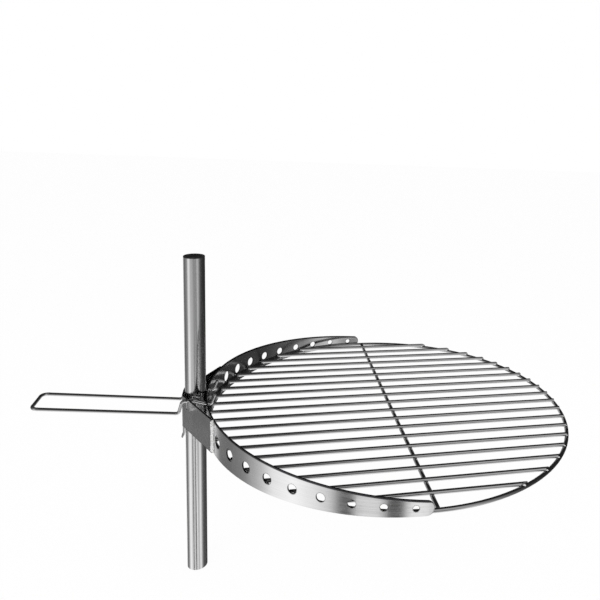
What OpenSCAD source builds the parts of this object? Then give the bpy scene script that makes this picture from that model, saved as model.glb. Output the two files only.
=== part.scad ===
// Round cooking grate that slides on an upright pole and is gripped there by a bent clamp bracket.
// Origin: centre of the pole's lower end. +Z runs up the pole, +X runs from the pole to the grate.

/* [Pole] */
// Outside diameter of the pole tube
pole_d = 32; // [24:1:42]
// Wall of the pole tube
pole_wall = 2; // [1:0.5:4]
// Overall length of the pole with its cap
pole_len = 530; // [460:10:900]
// Thickness of the cap's visible rim
cap_rim = 2; // [1.5:0.5:6]
// Depth to which the cap's skirt reaches into the tube
cap_skirt = 16; // [8:1:30]
// Wall of the cap's skirt
cap_wall = 2; // [1:0.5:4]

/* [Grate] */
// Height of the ring wire's centre above the pole's lower end
grate_z = 266.5; // [200:0.5:300]
// Outside diameter of the grate's ring
grate_d = 600; // [480:10:700]
// Diameter of the ring wire and of the cross bar
ring_wire_d = 6; // [5:0.5:8]
// Diameter of the grate bars
bar_d = 6; // [4:0.5:8]
// Distance from the ring's outer edge to the middle of the outermost bar
bar_inset = 33.6; // [20:0.2:60]
// How deep the bars are pressed into the ring and the cross bar where they are welded
bar_sink = 1.5; // [1:0.1:2]
// How far the bars' ends, trimmed to a circle, stop short of the ring's outer edge
bar_end_inset = 3.5; // [2:0.5:4]

/* [Band] */
// Sheet thickness of the perforated band round the pole's half of the ring
band_t = 2; // [1:0.5:3]
// Height of the band's top edge above the ring's centre, next to the pole
band_top = 43; // [38:0.5:58]
// Depth of the band's bottom edge below the ring's centre, next to the pole
band_depth = 10.5; // [8:0.5:14]
// How much higher the bottom edge is where the band ends
band_rise = 7.5; // [3:0.5:8]
// How much lower the top edge is where the band ends
band_drop = 27; // [10:0.5:30]
// Angle from the pole to each end of the band
band_angle = 88.5; // [84:0.5:89]
// Diameter of the first, largest hole
hole_d = 18; // [12:0.5:20]
// How much smaller each next hole is
hole_step_d = 1.2; // [0.4:0.1:1.4]
// Angle from the pole to the first hole
hole_angle = 23; // [22.5:0.1:26]
// Angle from one hole to the next
hole_step = 7.65; // [7.2:0.05:7.7]
// Number of holes on each side
hole_count = 9; // [5:1:9]

/* [Clamp] */
// Gap between the pole and the band
band_gap = 0.4; // [0.3:0.1:1.5]
// Gap between the pole and the bracket's flat bend
bracket_gap = 1; // [0.4:0.1:2]
// Sheet thickness of the clamp bracket
bracket_t = 2.5; // [1.5:0.5:4]
// Height of the bracket's top edge above the ring's centre
bracket_top = 41.5; // [36:0.5:46]
// Half the width of the flat bend behind the pole, to the corners of its inner face
bracket_flat = 10; // [7:0.5:12]
// Inner radius of the two bends
bracket_bend_r = 3; // [1:0.5:5]
// Angle on the band at which the arms are welded on
weld_angle = 19.4; // [18:0.1:19.6]
// Radius of the weld beads
weld_r = 4.5; // [3:0.5:5]
// Width of the tongue that bears on the pole below the bend
tongue_w = 12; // [8:1:14]
// Length of the tongue below the bend
tongue_len = 24; // [15:1:30]
// Length of the tongue's flared tip
tongue_tip = 6; // [3:0.5:8]
// Angle of the flared tip
tongue_flare = 28; // [10:1:40]

/* [Handle] */
// Diameter of the handle wire
handle_d = 5; // [4:0.5:6]
// Distance between the centres of the handle's two legs
handle_w = 52; // [48:1:60]
// Distance from the pole's axis to the centre of the grip's end
handle_reach = 228; // [150:1:300]
// Height of the grip's end above the ring's centre
handle_tip_z = 38.7; // [28:0.1:58]
// Radius of the grip's corners, at the wire's centre
handle_corner_r = 9; // [6:0.5:16]
// Radius of the wire's other bends, at the wire's centre
handle_bend_r = 5; // [4:0.5:6]
// Height of the holes in the band that the wire's ends hook into, above the ring's centre
handle_hole_z = 32.7; // [30.5:0.1:35.5]
// Diameter of those two holes
handle_hole_d = 9; // [8:0.5:10]
// Gap between the wire and the notch that it rests in
notch_gap = 0.3; // [0.2:0.1:1]
// Width of the narrow slit below each notch
slit_w = 3; // [2:0.5:4]
// Depth of the slit below the notch's centre
slit_depth = 14; // [8:1:18]

/* [Hidden] */
$fn = 96;

// Gap left where two pieces are welded edge to edge or side by side
joint_gap = 0.05;
// Radial gap between the cap's skirt and the tube's bore
cap_gap = 0.05;
// How far the round at each end of the band reaches past its top and bottom edges
end_round_spare = 0.2;
// Angle by which the band is drawn longer before its ends are cut round
end_spare_angle = 1;
// How far cutting shapes reach past the sheet or tube that they cut
cut_spare = 10;
// Where the handle wire rests on the bracket: distance in front of the pole's axis, and height above
// the ring's centre
hump_x = -12;
hump_z = 38.3;
// How far the hump's straight top reaches from there towards the grip and towards the band
hump_back = 5.4;
hump_front = 12;
// Lowest point of the handle wire, between grip and hump: distance from the notch and height
dip_x = 11;
dip_z = 18.1;
// Hook inside the band: how far its foot lies past the band, and how far its tip leans and rises
hook_foot_x = 7;
hook_lean = 5.5;
hook_rise = 15;
// How far the joints of the handle wire's pieces stand out from the wire, and the sides they are drawn with
joint_swell = 0.15;
joint_sides = 16;
// Number of flats used to draw each of the bracket's two bends
bracket_steps = 10;
// Number of sides used to draw the handle wire, and steps in a full turn of its bends
wire_sides = 24;
bend_steps = 72;
// Number of grate bars
bar_count = 19;
pole_r = pole_d / 2;
ring_r = (grate_d - ring_wire_d) / 2;
band_inner_r = grate_d / 2 + joint_gap;
band_outer_r = band_inner_r + band_t;
grate_x = pole_r + band_gap + band_outer_r;
bar_z = ring_wire_d / 2 + bar_d / 2 - bar_sink;
bar_pitch = (grate_d / 2 - bar_inset) / ((bar_count - 1) / 2);
bar_end_r = grate_d / 2 - bar_end_inset;
steel = [0.78, 0.79, 0.80];
dark_steel = [0.55, 0.56, 0.58];

// Height of the band's top edge at an angle from the pole
function band_edge(a) = band_top - band_drop * (1 - cos(a));

// Height of the band's bottom edge at an angle from the pole
function band_foot(a) = -band_depth + band_rise * (1 - cos(a));

// Height of the middle of the band and half its height at an angle from the pole
function band_mid(a) = (band_edge(a) + band_foot(a)) / 2;
function band_half(a) = (band_edge(a) - band_foot(a)) / 2;

// Moves its children to the grate's centre, at the ring's height
module at_grate() {
    translate([grate_x, 0, grate_z]) children();
}

module pole() {
    color(steel) difference() {
        cylinder(h = pole_len - cap_rim, r = pole_r);
        translate([0, 0, -1]) cylinder(h = pole_len, r = pole_r - pole_wall);
    }
}

module pole_cap() {
    skirt_r = pole_r - pole_wall - cap_gap;
    edge = cap_rim / 2;
    color([0.05, 0.05, 0.05]) translate([0, 0, pole_len - cap_rim]) {
        cylinder(h = cap_rim - edge, r = pole_r);
        translate([0, 0, cap_rim - edge]) cylinder(h = edge, r = pole_r - edge);
        translate([0, 0, cap_rim - edge]) rotate_extrude() intersection() {
            translate([pole_r - edge, 0]) circle(r = edge, $fn = 48);
            translate([pole_r - edge, 0]) square(edge);
        }
        translate([0, 0, -cap_skirt]) difference() {
            cylinder(h = cap_skirt, r = skirt_r);
            translate([0, 0, -1]) cylinder(h = cap_skirt, r = skirt_r - cap_wall);
        }
    }
}

// The ring and the cross bar, each with a layer of its own thickness round it
module ring_shape(layer) {
    rotate_extrude($fn = 180) translate([ring_r, 0]) circle(r = ring_wire_d / 2 + layer, $fn = 48);
}

module cross_shape(layer) {
    half = ring_r - ring_wire_d / 2 - joint_gap;
    rotate([90, 0, 0]) cylinder(h = 2 * half, r = ring_wire_d / 2 + layer, center = true, $fn = 48);
}

module ring_wire() {
    color(steel) at_grate() ring_shape(0);
}

module cross_bar() {
    color(steel) at_grate() cross_shape(0);
}

// One grate bar, numbered from the side nearest the viewer
module grate_bar(i) {
    y = (i - (bar_count + 1) / 2) * bar_pitch;
    color(steel) at_grate() difference() {
        intersection() {
            translate([0, y, bar_z]) rotate([0, 90, 0]) cylinder(h = grate_d, d = bar_d, center = true, $fn = 48);
            cylinder(h = 2 * bar_z, r = bar_end_r, $fn = 180);
        }
        ring_shape(joint_gap);
        cross_shape(joint_gap);
    }
}

// Turns its children from the pole's side of the ring to an angle, and moves them out to a radius
module on_band(a, r, z) {
    rotate([0, 0, a]) translate([-r, 0, z]) children();
}

// What is cut from the band beyond its end: all but a round nearly as high as the band
module band_end_cut(side) {
    centre_a = band_angle - asin(band_half(band_angle) / band_outer_r);
    end_r = band_half(centre_a) + end_round_spare;
    on_band(side * centre_a, band_outer_r, band_mid(centre_a)) difference() {
        translate([-cut_spare, side > 0 ? -4 * end_r : 0, -2 * end_r])
            cube([2 * cut_spare + band_t, 4 * end_r, 4 * end_r]);
        rotate([0, 90, 0]) cylinder(h = 6 * cut_spare, r = end_r, center = true);
    }
}

module edge_band() {
    drawn_angle = band_angle + end_spare_angle;
    height = band_top + band_depth + 2 * cut_spare;
    far = 2 * band_outer_r;
    color(steel) at_grate() difference() {
        translate([0, 0, -band_depth - cut_spare]) rotate([0, 0, 180 - drawn_angle])
            rotate_extrude(angle = 2 * drawn_angle, $fn = 180)
                translate([band_inner_r, 0]) square([band_t, height]);
        translate([-band_outer_r, 0, band_top]) rotate([0, atan(band_drop / band_outer_r), 0])
            translate([-cut_spare, -far, 0]) cube([2 * far, 2 * far, far]);
        translate([-band_outer_r, 0, -band_depth]) rotate([0, -atan(band_rise / band_outer_r), 0])
            translate([-cut_spare, -far, -far]) cube([2 * far, 2 * far, far]);
        for (side = [-1, 1]) {
            band_end_cut(side);
            for (k = [0 : hole_count - 1])
                on_band(side * (hole_angle + k * hole_step), band_outer_r,
                    band_mid(hole_angle + k * hole_step))
                    rotate([0, 90, 0])
                        cylinder(h = 2 * cut_spare, d = hole_d - k * hole_step_d, center = true, $fn = 48);
            translate([-band_outer_r, side * handle_w / 2, handle_hole_z])
                rotate([0, 90, 0]) cylinder(h = 3 * cut_spare, d = handle_hole_d, center = true, $fn = 48);
        }
    }
}

// The bracket is drawn on its inner face: flat bend behind the pole, then an arm to the band
flat_x = -pole_r - bracket_gap;
weld_x = grate_x - (band_outer_r + joint_gap) * cos(weld_angle);
weld_y = (band_outer_r + joint_gap) * sin(weld_angle);
arm_len = norm([weld_x - flat_x, weld_y - bracket_flat]);
arm_turn = atan2(weld_x - flat_x, weld_y - bracket_flat);
bend_trim = bracket_bend_r * tan(arm_turn / 2);
bracket_low = band_foot(weld_angle);
bracket_h = bracket_top - bracket_low;

// Edge of the bracket seen from above on the +Y side, at a depth into the sheet from its inner face
function bracket_edge(depth) = concat(
    [for (k = [0 : bracket_steps]) let (a = 180 - arm_turn * k / bracket_steps)
        [flat_x + bracket_bend_r, bracket_flat - bend_trim] + (bracket_bend_r + depth) * [cos(a), sin(a)]],
    [[weld_x - depth * cos(arm_turn), weld_y + depth * sin(arm_turn)]]);
function backwards(points) = [for (k = [len(points) - 1 : -1 : 0]) points[k]];
function mirrored(points) = [for (p = points) [p[0], -p[1]]];

module bracket_plate() {
    inner = bracket_edge(0);
    outer = bracket_edge(bracket_t);
    translate([0, 0, grate_z + bracket_low]) linear_extrude(bracket_h)
        polygon(concat(backwards(mirrored(inner)), inner, backwards(outer), mirrored(outer)));
}

// Tongue that runs down the pole from the flat bend, with its tip flared away from the pole
module bracket_tongue() {
    straight = tongue_len - tongue_tip;
    tip = [flat_x - tongue_tip * sin(tongue_flare), -straight - tongue_tip * cos(tongue_flare)];
    translate([0, tongue_w / 2, grate_z + bracket_low]) rotate([90, 0, 0]) linear_extrude(tongue_w)
        polygon([[flat_x, 1], [flat_x, -straight], tip,
            tip + bracket_t * [-cos(tongue_flare), sin(tongue_flare)],
            [flat_x - bracket_t, -straight + bracket_t * tan(tongue_flare / 2)], [flat_x - bracket_t, 1]]);
}

// Notch for the handle wire in both arms, open at the top, with a narrow slit below it
module bracket_notches() {
    notch_r = handle_d / 2 + notch_gap;
    reach = 2 * handle_w;
    for (side = [-1, 1]) translate([hump_x, side * handle_w / 2, grate_z + hump_z]) {
        rotate([0, 90, 0]) cylinder(h = reach, r = notch_r, center = true, $fn = 48);
        translate([-reach / 2, -notch_r, 0]) cube([reach, 2 * notch_r, reach]);
        translate([-reach / 2, -slit_w / 2, -slit_depth]) cube([reach, slit_w, slit_depth]);
    }
}

module clamp_bracket() {
    color(dark_steel) difference() {
        union() {
            bracket_plate();
            bracket_tongue();
        }
        bracket_notches();
    }
}

// Weld bead between an arm's end and the band
module bracket_weld(side) {
    color([0.85, 0.85, 0.86]) difference() {
        translate([weld_x - bracket_t, side * weld_y, grate_z + bracket_low])
            cylinder(h = bracket_h, r = weld_r, $fn = 48);
        bracket_plate();
        at_grate() translate([0, 0, bracket_low - 1]) cylinder(h = bracket_h + 2, r = band_outer_r, $fn = 180);
    }
}

// Path of one handle leg in the X-Z plane, with Z from the ring's centre
handle_pivot_x = grate_x - sqrt(pow(band_outer_r - band_t / 2, 2) - pow(handle_w / 2, 2));
hook_slope = (hump_z - handle_hole_z) / (handle_pivot_x - hump_x - hump_front);
hook_foot = [handle_pivot_x + hook_foot_x, handle_hole_z - hook_foot_x * hook_slope];
leg_path = [[-handle_reach, handle_tip_z], [hump_x - dip_x, dip_z], [hump_x - hump_back, hump_z],
    [hump_x + hump_front, hump_z], hook_foot, hook_foot + [hook_lean, hook_rise]];

function path_dir(i) = (leg_path[i + 1] - leg_path[i]) / norm(leg_path[i + 1] - leg_path[i]);
function path_angle(i) = atan2(path_dir(i)[1], path_dir(i)[0]);
function path_turn(i) = path_angle(i) - path_angle(i - 1);
function bend_cut(i) = handle_bend_r * tan(abs(path_turn(i)) / 2);
function cut_at(i) = i == 0 ? handle_corner_r : i == len(leg_path) - 1 ? 0 : bend_cut(i);
function straight_len(i) = norm(leg_path[i + 1] - leg_path[i]) - cut_at(i) - cut_at(i + 1);

// Round bend that leaves along +X and turns towards +Z, or towards -Z when turn is negative
module wire_bend(turn) {
    mirror([0, 0, turn > 0 ? 0 : 1]) translate([0, 0, handle_bend_r]) rotate([90, 0, 0]) rotate([0, 0, -90])
        rotate_extrude(angle = abs(turn), $fn = bend_steps)
            translate([handle_bend_r, 0]) circle(d = handle_d, $fn = wire_sides);
}

// Slight swelling over the place where a straight piece meets a bend, so that both are one solid
module wire_joint() {
    rotate([0, 90, 0]) sphere(d = handle_d + 2 * joint_swell, $fn = joint_sides);
}

// Straight piece of wire along +X that ends just short of what follows it, inside the joints
module wire_straight(length) {
    translate([joint_swell, 0, 0]) rotate([0, 90, 0])
        cylinder(h = length - 2 * joint_swell, d = handle_d, $fn = wire_sides);
    wire_joint();
    translate([length, 0, 0]) wire_joint();
}

// The leg from point i of its path on, drawn along +X: a straight piece, a bend and what follows it
module leg_from(i) {
    length = straight_len(i);
    wire_straight(length);
    if (i < len(leg_path) - 2) {
        turn = path_turn(i + 1);
        centre_z = turn > 0 ? handle_bend_r : -handle_bend_r;
        translate([length, 0, 0]) {
            wire_bend(turn);
            translate([0, 0, centre_z]) rotate([0, -turn, 0]) translate([0, 0, -centre_z]) leg_from(i + 1);
        }
    }
}

// Closed outer end of the handle: one straight piece and two quarter bends
module handle_grip_end() {
    inner = handle_w / 2 - handle_corner_r;
    translate([0, inner, 0]) rotate([0, 0, -90]) wire_straight(2 * inner);
    for (side = [-1, 1]) translate([handle_corner_r, side * inner, 0])
        rotate([0, 0, side > 0 ? 90 : 180]) rotate_extrude(angle = 90, $fn = bend_steps)
            translate([handle_corner_r, 0]) circle(d = handle_d, $fn = wire_sides);
}

module handle() {
    color(steel) translate([-handle_reach, 0, grate_z + handle_tip_z]) rotate([0, -path_angle(0), 0]) {
        handle_grip_end();
        for (side = [-1, 1]) translate([handle_corner_r, side * handle_w / 2, 0]) leg_from(0);
    }
}

pole();
pole_cap();
clamp_bracket();
bracket_weld(-1);  // bracket_weld_near
bracket_weld(1);  // bracket_weld_far
edge_band();
ring_wire();
cross_bar();
grate_bar(1);  // bar_01
grate_bar(2);  // bar_02
grate_bar(3);  // bar_03
grate_bar(4);  // bar_04
grate_bar(5);  // bar_05
grate_bar(6);  // bar_06
grate_bar(7);  // bar_07
grate_bar(8);  // bar_08
grate_bar(9);  // bar_09
grate_bar(10);  // bar_10
grate_bar(11);  // bar_11
grate_bar(12);  // bar_12
grate_bar(13);  // bar_13
grate_bar(14);  // bar_14
grate_bar(15);  // bar_15
grate_bar(16);  // bar_16
grate_bar(17);  // bar_17
grate_bar(18);  // bar_18
grate_bar(19);  // bar_19
handle();
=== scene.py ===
import math
import random

import bmesh
import bpy
from mathutils import Matrix, Vector


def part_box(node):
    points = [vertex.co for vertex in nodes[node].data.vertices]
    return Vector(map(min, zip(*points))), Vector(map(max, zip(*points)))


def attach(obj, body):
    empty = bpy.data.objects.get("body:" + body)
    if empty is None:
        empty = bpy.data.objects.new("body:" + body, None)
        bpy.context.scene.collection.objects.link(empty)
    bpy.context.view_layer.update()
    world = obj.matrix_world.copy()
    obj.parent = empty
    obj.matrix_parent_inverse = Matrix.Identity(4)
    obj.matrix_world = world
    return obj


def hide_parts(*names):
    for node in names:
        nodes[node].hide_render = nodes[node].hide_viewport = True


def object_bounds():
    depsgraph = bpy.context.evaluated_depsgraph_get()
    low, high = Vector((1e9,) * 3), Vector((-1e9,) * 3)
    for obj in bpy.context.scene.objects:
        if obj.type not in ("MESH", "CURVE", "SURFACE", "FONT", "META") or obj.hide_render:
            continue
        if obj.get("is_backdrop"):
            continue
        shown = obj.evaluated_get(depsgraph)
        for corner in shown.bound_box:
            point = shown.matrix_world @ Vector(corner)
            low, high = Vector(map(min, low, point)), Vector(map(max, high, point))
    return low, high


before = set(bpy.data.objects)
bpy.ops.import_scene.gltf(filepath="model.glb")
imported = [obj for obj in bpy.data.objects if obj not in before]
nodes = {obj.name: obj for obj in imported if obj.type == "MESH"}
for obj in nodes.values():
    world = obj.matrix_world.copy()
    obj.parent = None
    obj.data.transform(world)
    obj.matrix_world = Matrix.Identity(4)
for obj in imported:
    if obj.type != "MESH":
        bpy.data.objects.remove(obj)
cad_lo, cad_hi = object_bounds()
scene = bpy.context.scene

# Sizes repeated from the solids, in metres and degrees
GRATE_Z = 0.2665
GRATE_X = 0.31845
RING_R = 0.297
RING_D = 0.006
BAR_SINK = 0.0015
BAR_PITCH = 0.0296
BAR_COUNT = 19
BAND_R = 0.30205
BAND_TOP = 0.043
BAND_DROP = 0.027
BAND_DEPTH = 0.0105
BAND_RISE = 0.0075
WELD_ANGLE = 19.4
CENTRE = Vector((GRATE_X, 0.0, GRATE_Z))

# Camera: its place in metres, its axes, and its focal length and optical centre in pixels of the picture
PICTURE_PX = 600.0
FOCAL_PX = 599.57
OPTICAL_CENTRE_PX = (400.27, 237.27)
SENSOR_MM = 36.0
CAMERA_PLACE = (0.09472, -0.94544, 0.73217)
CAMERA_RIGHT = Vector((0.97285, -0.22633, 0.0483))
CAMERA_DOWN = Vector((0.00693, -0.18016, -0.98362))
CAMERA_FORWARD = Vector((0.23133, 0.95725, -0.1737))

# Painted shade on the sheets' cut edges, which reaches a little onto the outer face. EDGE_REACH is the
# radius, in metres, of the corner on which it fades
EDGE_REACH = 0.0023
EDGE_SHADE_COLOUR = (0.06, 0.06, 0.065, 1.0)
EDGE_DULL = 0.25

# Weld beads, lengths in metres. They are shortened by BEAD_TRIM at each end, stand BEAD_LIFT off the band and
# have a root BEAD_ROOT deep. They round off over one part in BEAD_END_PARTS of their length at each end, down
# to a share of BEAD_LEAST.
BEAD_ROWS = 189
BEAD_SIDES = 20
BEAD_TRIM = 0.0003
BEAD_LIFT = 0.00005
BEAD_HALF_WIDTH = 0.0050
BEAD_HEIGHT = 0.0039
BEAD_SAG = 0.0009
BEAD_ROOT = 0.0006
BEAD_RIPPLES = 15.0
BEAD_RIPPLE_DEPTH = 0.30
BEAD_END_PARTS = 14.0
BEAD_LEAST = 0.05
BEAD_NOISE = 0.07

# Nuggets of the spot welds, in metres: half sizes along the bar, across it and upright. Those on the ring lie
# RING_NUGGET_INSET inside the middle line of its wire.
CROSS_NUGGET = (0.0036, 0.0026, 0.0017)
RING_NUGGET = (0.0034, 0.0026, 0.0016)
RING_NUGGET_INSET = 0.002
NUGGET_NOISE = 0.16

# Light tent: brightness by azimuth in degrees, in three zones. The pairs after them are heights on a unit
# sphere, between which one zone turns into the next. The foot is white and the top is dark.
TENT_RADIUS = 6.0
TENT_PLACE = (0.15, 0.0, 0.27)
TENT_STRENGTH = 1.15
TENT_BELOW = ((-180, 0.5), (-170, 0.85), (-156, 1.0), (-146, 0.85), (-133, 0.65), (-126, 0.1), (-121, 0.12),
              (-115, 0.7), (-105, 0.7), (-97, 0.08), (-92, 0.1), (-87, 0.85), (-80, 0.85), (-69, 0.42),
              (-57, 0.6), (-45, 0.95), (-33, 0.6), (-19, 0.18), (0, 0.08), (60, 0.04), (74, 0.05),
              (84, 0.5), (92, 0.9), (103, 0.9), (109, 0.25), (115, 0.25), (121, 0.75), (130, 0.6),
              (138, 0.14), (152, 0.15), (166, 0.22), (180, 0.5))
TENT_LEVEL = ((-180, 0.22), (-168, 0.28), (-159, 0.76), (-145, 0.9), (-130, 0.55), (-112, 0.5), (-99, 0.36),
              (-90, 0.22), (-82, 0.34), (-72, 0.18), (-64, 0.28), (-54, 0.60), (-44, 0.42), (-33, 0.20),
              (-21, 0.08), (0, 0.04), (60, 0.02), (74, 0.03), (84, 0.4), (92, 0.8), (103, 0.8),
              (109, 0.22), (115, 0.2), (121, 0.6), (130, 0.5), (138, 0.1), (152, 0.14), (166, 0.2),
              (180, 0.25))
TENT_ABOVE = ((-180, 0.1), (-150, 0.25), (-120, 0.07), (-95, 0.06), (-88, 0.12), (-84, 0.2), (-74, 0.5),
              (-60, 0.6), (-45, 0.35), (-20, 0.05), (0, 0.03), (75, 0.02), (150, 0.04), (180, 0.1))
BELOW_TO_LEVEL = (-0.50, -0.34)
LEVEL_TO_ABOVE = (-0.18, 0.0)
FOOT_ZONE = (-0.84, -0.66)
FOOT_WHITE = (0.95, 0.95, 0.95, 1.0)
TOP_ZONE = (0.78, 0.92)
TOP_DARK = (0.03, 0.03, 0.03, 1.0)

# Floor, world and lamps
WHITE = (1.0, 1.0, 1.0, 1.0)
FLOOR_HALF = 12.0
FLOOR_GAP = 0.0005
FLOOR_COLOUR = (0.95, 0.95, 0.95, 1.0)
FLOOR_GLOW = 0.95
SOFT_LIGHT = 0.75
LAMP_SIZE = 1.6
LAMP_TARGET = (0.2, 0.0, 0.25)


# camera
def make_camera():
    data = bpy.data.cameras.new("camera")
    cam = bpy.data.objects.new("camera", data)
    scene.collection.objects.link(cam)
    turn = Matrix((CAMERA_RIGHT, -CAMERA_DOWN, -CAMERA_FORWARD)).transposed()
    cam.matrix_world = Matrix.Translation(CAMERA_PLACE) @ turn.to_4x4()
    data.sensor_width = SENSOR_MM
    data.lens = SENSOR_MM * FOCAL_PX / PICTURE_PX
    data.shift_x = (PICTURE_PX / 2 - OPTICAL_CENTRE_PX[0]) / PICTURE_PX
    data.shift_y = (OPTICAL_CENTRE_PX[1] - PICTURE_PX / 2) / PICTURE_PX
    data.clip_start = 0.01
    data.clip_end = 50.0
    scene.camera = cam


make_camera()


# node helpers
class Nodes:
    """A short way to write a node tree."""

    def __init__(self, tree):
        self.tree = tree
        tree.nodes.clear()

    def add(self, kind, values=None, **props):
        node = self.tree.nodes.new(kind)
        for key, value in props.items():
            setattr(node, key, value)
        for key, value in (values or {}).items():
            self.put(node, key, value)
        return node

    def put(self, node, key, value):
        if isinstance(value, bpy.types.NodeSocket):
            self.tree.links.new(value, node.inputs[key])
        else:
            node.inputs[key].default_value = value

    def math(self, op, a, b=0.0, c=0.0, clamp=False):
        node = self.add("ShaderNodeMath", {0: a, 1: b, 2: c}, operation=op, use_clamp=clamp)
        return node.outputs[0]

    def plus(self, a, b):
        return self.math("ADD", a, b)

    def times(self, a, b):
        return self.math("MULTIPLY", a, b)

    def span(self, value, lo, hi, to_lo=0.0, to_hi=1.0, kind="SMOOTHSTEP"):
        """Maps lo to to_lo and hi to to_hi, and holds those two outside them."""
        node = self.add("ShaderNodeMapRange", {"Value": value, "From Min": lo, "From Max": hi,
                                               "To Min": to_lo, "To Max": to_hi}, interpolation_type=kind)
        return node.outputs[0]

    def noise(self, vector, scale, detail, roughness):
        node = self.add("ShaderNodeTexNoise", {"Vector": vector, "Scale": scale, "Detail": detail,
                                               "Roughness": roughness})
        return node.outputs[0]

    def where(self):
        """The object's own coordinates."""
        return self.add("ShaderNodeTexCoord").outputs["Object"]

    def split(self, vector):
        return self.add("ShaderNodeSeparateXYZ", {0: vector}).outputs

    def join(self, x, y, z):
        return self.add("ShaderNodeCombineXYZ", {0: x, 1: y, 2: z}).outputs[0]

    def mix(self, fac, a, b):
        node = self.add("ShaderNodeMix", data_type="RGBA")
        for key, value in ((0, fac), (6, a), (7, b)):
            self.put(node, key, value)
        return node.outputs[2]

    def sees_white(self):
        """1 for rays that see plain white: from the camera, off gloss and through glass."""
        rays = self.add("ShaderNodeLightPath").outputs
        mirrored = self.math("MAXIMUM", rays["Is Glossy Ray"], rays["Is Transmission Ray"])
        return self.math("MAXIMUM", rays["Is Camera Ray"], mirrored)

    def blend(self, fac, a, b):
        return self.add("ShaderNodeMixShader", {0: fac, 1: a.outputs[0], 2: b.outputs[0]})

    def end(self, shader, kind="ShaderNodeOutputMaterial"):
        self.add(kind, {0: shader.outputs[0]})


def new_material(name):
    mat = bpy.data.materials.new(name)
    mat.use_nodes = True
    return mat, Nodes(mat.node_tree)


def around(n, centre_x):
    """Angle round the upright axis at centre_x, distance from it and height, in own coordinates."""
    place = n.split(n.where())
    x = n.math("SUBTRACT", place[0], centre_x)
    y = place[1]
    angle = n.math("ARCTAN2", y, x)
    far = n.math("SQRT", n.plus(n.times(x, x), n.times(y, y)))
    return angle, far, place[2]


def cut_edge_shade(n, shape):
    """Mask of painted shade: 1 on the faces that were cut through the sheet and on their corners, 0 on its
    broad sides.
    Of a plate these are the faces that look up or down. A ring is the band round the grate's centre: there
    the painted shade reaches further below each hole, where the corner leans up, and down from the top edge,
    and it leaves out the foot."""
    corner = n.add("ShaderNodeBevel", {"Radius": EDGE_REACH}, samples=6).outputs[0]
    own = n.add("ShaderNodeVectorTransform", {0: corner}, vector_type="NORMAL", convert_from="WORLD",
                convert_to="OBJECT").outputs[0]
    turned = n.split(own)
    if shape == "plate":
        return n.span(n.math("ABSOLUTE", turned[2]), 0.12, 0.45)
    angle, _, height = around(n, GRATE_X)
    across = n.math("COSINE", angle)
    facing = n.plus(n.times(turned[0], across), n.times(turned[1], n.math("SINE", angle)))
    side = n.span(n.math("ABSOLUTE", facing), 0.84, 0.98, 1.0, 0.0)
    cut = n.math("MAXIMUM", side, n.span(turned[2], 0.10, 0.30))
    foot = n.math("MULTIPLY_ADD", across, BAND_RISE, GRATE_Z + BAND_RISE - BAND_DEPTH)
    crest = n.math("MULTIPLY_ADD", across, -BAND_DROP, GRATE_Z + BAND_TOP - BAND_DROP)
    clear = n.span(n.math("SUBTRACT", height, foot), 0.0010, 0.0030)
    lip = n.span(n.math("SUBTRACT", crest, height), 0.0018, 0.0032, 1.0, 0.0)
    return n.math("MAXIMUM", n.times(cut, clear), lip)


def grain_places(n, lie):
    """Coordinates for the fine grain and for the broad patches, stretched along lie."""
    if lie == "pole":
        angle, far, height = around(n, 0.0)
        fine = n.join(n.times(angle, 24.0), n.times(height, 5.0), far)
        broad = n.join(n.times(angle, 2.2), n.times(height, 3.0), 0.0)
    elif lie == "ring":
        angle, far, height = around(n, GRATE_X)
        fine = n.join(n.times(angle, 2.4), n.times(height, 900.0), n.times(far, 900.0))
        broad = n.join(n.times(angle, 4.0), n.times(height, 12.0), 0.0)
    else:
        place = n.split(n.where())
        fine = n.join(*[n.times(place[i], 8.0 if axis == lie else 900.0) for i, axis in enumerate("xyz")])
        broad = n.join(*[n.times(place[i], 18.0) for i in range(3)])
    return fine, broad


def steel(name, grey, rough, lie, grain=0.4, smudge=0.5, sheet=""):
    """Stainless steel: fine grain along lie, duller smudges and faint tone changes.
    lie is x, y, z, pole or ring. Where sheet is plate or ring, the cut edges are rougher and painted near
    black as shade."""
    mat, n = new_material(name)
    fine, broad = grain_places(n, lie)
    streak = n.noise(fine, 1.0, 4.0, 0.6)
    patch = n.noise(broad, 1.0, 3.0, 0.5)
    speck = n.noise(n.where(), 420.0, 2.0, 0.5)
    dark = grey * (1.0 - 0.16 * grain)
    tone = n.plus(n.times(n.span(streak, 0.3, 0.7), 0.65), n.times(n.span(patch, 0.3, 0.7), 0.35))
    base = n.mix(tone, (dark, dark, dark, 1.0), (grey, grey, grey, 1.0))
    dull = n.plus(n.span(streak, 0.3, 0.7, rough + 0.07 * grain, rough - 0.04 * grain),
                  n.span(patch, 0.35, 0.75, -0.03 * smudge, 0.07 * smudge))
    dull = n.math("ADD", dull, n.span(speck, 0.55, 0.8, 0.0, 0.06 * smudge), clamp=True)
    if sheet:
        cut = cut_edge_shade(n, sheet)
        # Painted shade: where the mask is 1 the steel colour is mixed towards near black.
        base = n.mix(cut, base, EDGE_SHADE_COLOUR)
        dull = n.plus(n.times(cut, EDGE_DULL), dull)
    bump = n.add("ShaderNodeBump", {"Height": n.plus(streak, n.times(speck, 0.3)), "Strength": 0.35 * grain,
                                    "Distance": 0.00002})
    n.end(n.add("ShaderNodeBsdfPrincipled", {"Base Color": base, "Metallic": 1.0, "Roughness": dull,
                                             "Normal": bump.outputs[0]}))
    return mat


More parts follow.
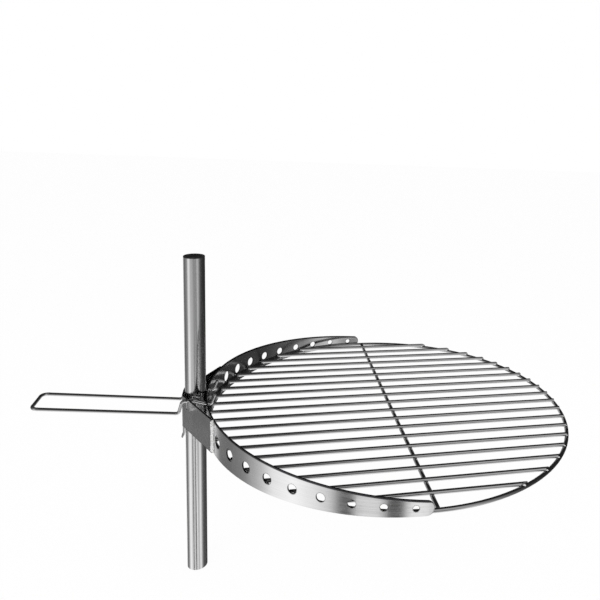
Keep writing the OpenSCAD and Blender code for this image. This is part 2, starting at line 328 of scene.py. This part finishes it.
def weld_metal(name):
    """Weld metal: matt, with grey specks and tiny pits. Its light grey is real, and its run up to plain white
    is painted highlight that stands in for the bright glints of the beads and nuggets.
    """
    mat, n = new_material(name)
    grit = n.noise(n.where(), 900.0, 3.0, 0.6)
    blot = n.noise(n.where(), 420.0, 2.0, 0.5)
    # Painted highlight: the blots run up to plain white.
    base = n.mix(n.span(blot, 0.36, 0.58), (0.60, 0.59, 0.58, 1.0), WHITE)
    bump = n.add("ShaderNodeBump", {"Height": grit, "Strength": 0.6, "Distance": 0.0002})
    n.end(n.add("ShaderNodeBsdfPrincipled", {"Base Color": base, "Metallic": 0.2,
                                             "Roughness": n.span(grit, 0.3, 0.7, 0.30, 0.50),
                                             "Normal": bump.outputs[0]}))
    return mat


def black_plastic(name):
    """Moulded black plastic: fine grain and slightly uneven gloss."""
    mat, n = new_material(name)
    grain = n.noise(n.where(), 2600.0, 2.0, 0.5)
    cloud = n.noise(n.where(), 120.0, 2.0, 0.5)
    base = n.mix(n.span(cloud, 0.3, 0.7), (0.010, 0.010, 0.011, 1.0), (0.020, 0.020, 0.021, 1.0))
    bump = n.add("ShaderNodeBump", {"Height": grain, "Strength": 0.4, "Distance": 0.00008})
    n.end(n.add("ShaderNodeBsdfPrincipled", {"Base Color": base,
                                             "Roughness": n.span(cloud, 0.3, 0.7, 0.42, 0.52),
                                             "Normal": bump.outputs[0]}))
    return mat


POLE_STEEL = steel("pole_steel", 0.84, 0.13, "pole", 1.6, 0.8)
BAND_STEEL = steel("band_steel", 0.85, 0.12, "ring", 0.8, 0.8, sheet="ring")
BRACKET_STEEL = steel("bracket_steel", 0.76, 0.18, "z", 0.8, 1.0, sheet="plate")
# The ring wire and the cross bar are darker copies of the same wire steel: painted shade.
RING_STEEL_SHADED = steel("ring_steel", 0.48, 0.10, "ring")
CROSS_STEEL_SHADED = steel("cross_steel", 0.44, 0.10, "y")
BAR_STEEL = steel("bar_steel", 0.60, 0.10, "x")
HANDLE_STEEL = steel("handle_steel", 0.64, 0.08, "x")
WELD_METAL = weld_metal("weld_metal")
CAP_PLASTIC = black_plastic("cap_plastic")


def dress(node, mat):
    for slot in nodes[node].material_slots:
        slot.material = mat
    if not nodes[node].material_slots:
        nodes[node].data.materials.append(mat)


dress("pole", POLE_STEEL)
dress("pole_cap", CAP_PLASTIC)
dress("edge_band", BAND_STEEL)
dress("clamp_bracket", BRACKET_STEEL)
dress("ring_wire", RING_STEEL_SHADED)
dress("cross_bar", CROSS_STEEL_SHADED)
dress("handle", HANDLE_STEEL)
for number in range(1, BAR_COUNT + 1):
    dress("bar_%02d" % number, BAR_STEEL)


# pieces made in mesh code
def new_object(name, bm, mat):
    mesh = bpy.data.meshes.new(name)
    bm.to_mesh(mesh)
    bm.free()
    mesh.materials.append(mat)
    obj = bpy.data.objects.new(name, mesh)
    scene.collection.objects.link(obj)
    return obj


def new_piece(name, bm, mat, body):
    bmesh.ops.recalc_face_normals(bm, faces=bm.faces)
    for face in bm.faces:
        face.smooth = True
    obj = new_object(name, bm, mat)
    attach(obj, body)
    return obj


def weld_bead(name, node, side):
    """A rippled, slightly wavy bead up the corner between the bracket's arm and the band.
    It takes the place of the plain solid."""
    lo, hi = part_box(node)
    low = lo[2] + BEAD_TRIM
    high = hi[2] - BEAD_TRIM
    angle = math.radians(WELD_ANGLE)
    out = Vector((-math.cos(angle), side * math.sin(angle), 0.0))
    along = Vector((math.sin(angle), side * math.cos(angle), 0.0))
    foot = CENTRE + out * (BAND_R + BEAD_LIFT)
    rand = random.Random(11 if side > 0 else 7)
    bm = bmesh.new()
    rings = []
    for row in range(BEAD_ROWS + 1):
        t = row / BEAD_ROWS
        z = low + (high - low) * t
        end = min(1.0, min(t, 1 - t) * BEAD_END_PARTS)
        round_off = max(math.sqrt(max(0.0, 1 - (1 - end) ** 2)), BEAD_LEAST)
        ripple = (t * BEAD_RIPPLES) % 1.0
        swell = 1.0 - BEAD_RIPPLE_DEPTH * ripple + 0.03 * math.sin(9 * t)
        wide = (BEAD_HALF_WIDTH + 0.0003 * math.sin(13 * t + side)) * swell * round_off
        tall = (BEAD_HEIGHT + 0.0002 * math.sin(17 * t)) * swell * round_off
        ring = []
        for k in range(BEAD_SIDES + 1):
            a = math.pi * k / BEAD_SIDES
            push = 1.0 + BEAD_NOISE * (rand.random() - 0.5)
            p = foot + along * (-math.cos(a) * wide * push) + out * (math.sin(a) * tall * push)
            p.z = z if end < 1 else z - BEAD_SAG * math.sin(a) ** 2
            ring.append(bm.verts.new(p))
        ring.append(bm.verts.new(Vector((foot.x, foot.y, z)) - out * BEAD_ROOT))
        rings.append(ring)
    count = len(rings[0])
    for a, b in zip(rings, rings[1:]):
        for k in range(count):
            bm.faces.new((a[k], a[(k + 1) % count], b[(k + 1) % count], b[k]))
    bm.faces.new(rings[0])
    bm.faces.new(list(reversed(rings[-1])))
    obj = new_piece(name, bm, WELD_METAL, "grate")
    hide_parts(node)


weld_bead("weld_bead_near", "bracket_weld_near", -1)
weld_bead("weld_bead_far", "bracket_weld_far", 1)


def crossing_spots():
    """Centre and half sizes of the nugget at each place where a bar crosses the cross bar or the ring."""
    spots = []
    joint_z = GRATE_Z + (RING_D - BAR_SINK) / 2
    for i in range(BAR_COUNT):
        y = (i - (BAR_COUNT - 1) / 2) * BAR_PITCH
        spots.append((Vector((GRATE_X, y, joint_z)), CROSS_NUGGET))
        for end in (-1, 1):
            x = end * (math.sqrt(RING_R ** 2 - y ** 2) - RING_NUGGET_INSET)
            spots.append((Vector((GRATE_X + x, y, joint_z)), RING_NUGGET))
    return spots


def spot_welds(name, spots):
    """Small fused nuggets where the wires cross."""
    rand = random.Random(5)
    bm = bmesh.new()
    for centre, size in spots:
        for v in bmesh.ops.create_icosphere(bm, subdivisions=2, radius=1.0)["verts"]:
            p = v.co * (1.0 + NUGGET_NOISE * (rand.random() - 0.5))
            v.co = centre + p * Vector(size)
    new_piece(name, bm, WELD_METAL, "grate")


spot_welds("spot_welds", crossing_spots())


# floor, light tent and lamps
def make_floor():
    mat, n = new_material("floor_white")
    paper = n.add("ShaderNodeBsdfDiffuse", {"Color": FLOOR_COLOUR})
    white = n.add("ShaderNodeEmission", {"Color": WHITE, "Strength": 1.0})
    n.end(n.blend(n.times(n.sees_white(), FLOOR_GLOW), paper, white))
    bm = bmesh.new()
    bmesh.ops.create_grid(bm, x_segments=1, y_segments=1, size=FLOOR_HALF)
    floor = new_object("floor", bm, mat)
    floor.location.z = -FLOOR_GAP
    floor.visible_glossy = False
    floor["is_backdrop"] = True


make_floor()


def bands(n, place, stops):
    """Brightness by azimuth. place runs from 0 to 1 round the tent."""
    ramp = n.add("ShaderNodeValToRGB", {0: place})
    points = ramp.color_ramp.elements
    first, *between, last = [(degrees / 360.0 + 0.5, (level, level, level, 1.0)) for degrees, level in stops]
    for point, (position, colour) in zip(points, (first, last)):
        point.position = position
        point.color = colour
    for position, colour in between:
        points.new(position).color = colour
    return ramp.outputs[0]


def make_tent():
    """A light tent that only reflections see. Its grey and black panels give metal its dark lines."""
    mat, n = new_material("tent_panels")
    mat.cycles.emission_sampling = "NONE"
    unit = n.split(n.add("ShaderNodeVectorMath", {0: n.where()}, operation="NORMALIZE").outputs[0])
    height = unit[2]
    place = n.span(n.math("ARCTAN2", unit[1], unit[0]), -math.pi, math.pi, kind="LINEAR")
    panels = n.mix(n.span(height, *BELOW_TO_LEVEL), bands(n, place, TENT_BELOW), bands(n, place, TENT_LEVEL))
    panels = n.mix(n.span(height, *LEVEL_TO_ABOVE), panels, bands(n, place, TENT_ABOVE))
    panels = n.mix(n.span(height, *FOOT_ZONE, 1.0, 0.0), panels, FOOT_WHITE)
    panels = n.mix(n.span(height, *TOP_ZONE), panels, TOP_DARK)
    n.end(n.add("ShaderNodeEmission", {"Color": panels, "Strength": TENT_STRENGTH}))
    bm = bmesh.new()
    bmesh.ops.create_uvsphere(bm, u_segments=64, v_segments=32, radius=TENT_RADIUS)
    tent = new_object("tent", bm, mat)
    tent.location = TENT_PLACE
    tent.visible_camera = False
    tent.visible_diffuse = False
    tent.visible_transmission = False
    tent.visible_volume_scatter = False
    tent.visible_shadow = False
    tent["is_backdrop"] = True


make_tent()


def make_world():
    world = bpy.data.worlds.new("studio")
    scene.world = world
    world.use_nodes = True
    n = Nodes(world.node_tree)
    soft = n.add("ShaderNodeBackground", {"Color": WHITE, "Strength": SOFT_LIGHT})
    white = n.add("ShaderNodeBackground", {"Color": WHITE, "Strength": 1.0})
    n.end(n.blend(n.sees_white(), soft, white), "ShaderNodeOutputWorld")


make_world()


def make_lamp(name, place, power):
    data = bpy.data.lights.new(name, "AREA")
    data.shape = "SQUARE"
    data.size = LAMP_SIZE
    data.energy = power
    lamp = bpy.data.objects.new(name, data)
    scene.collection.objects.link(lamp)
    lamp.location = place
    lamp.rotation_mode = "QUATERNION"
    lamp.rotation_quaternion = (Vector(LAMP_TARGET) - Vector(place)).to_track_quat("-Z", "Y")
    lamp.visible_glossy = False


make_lamp("key", (-0.9, -1.6, 2.2), 22.0)
make_lamp("fill", (1.6, -1.0, 1.6), 8.0)

scene.view_settings.view_transform = "Standard"

vis_lo, vis_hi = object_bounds()
("[[%s], [%s], [%s], [%s]]\n" % tuple(
    ", ".join("%.6f" % value for value in corner) for corner in (cad_lo, cad_hi, vis_lo, vis_hi)))
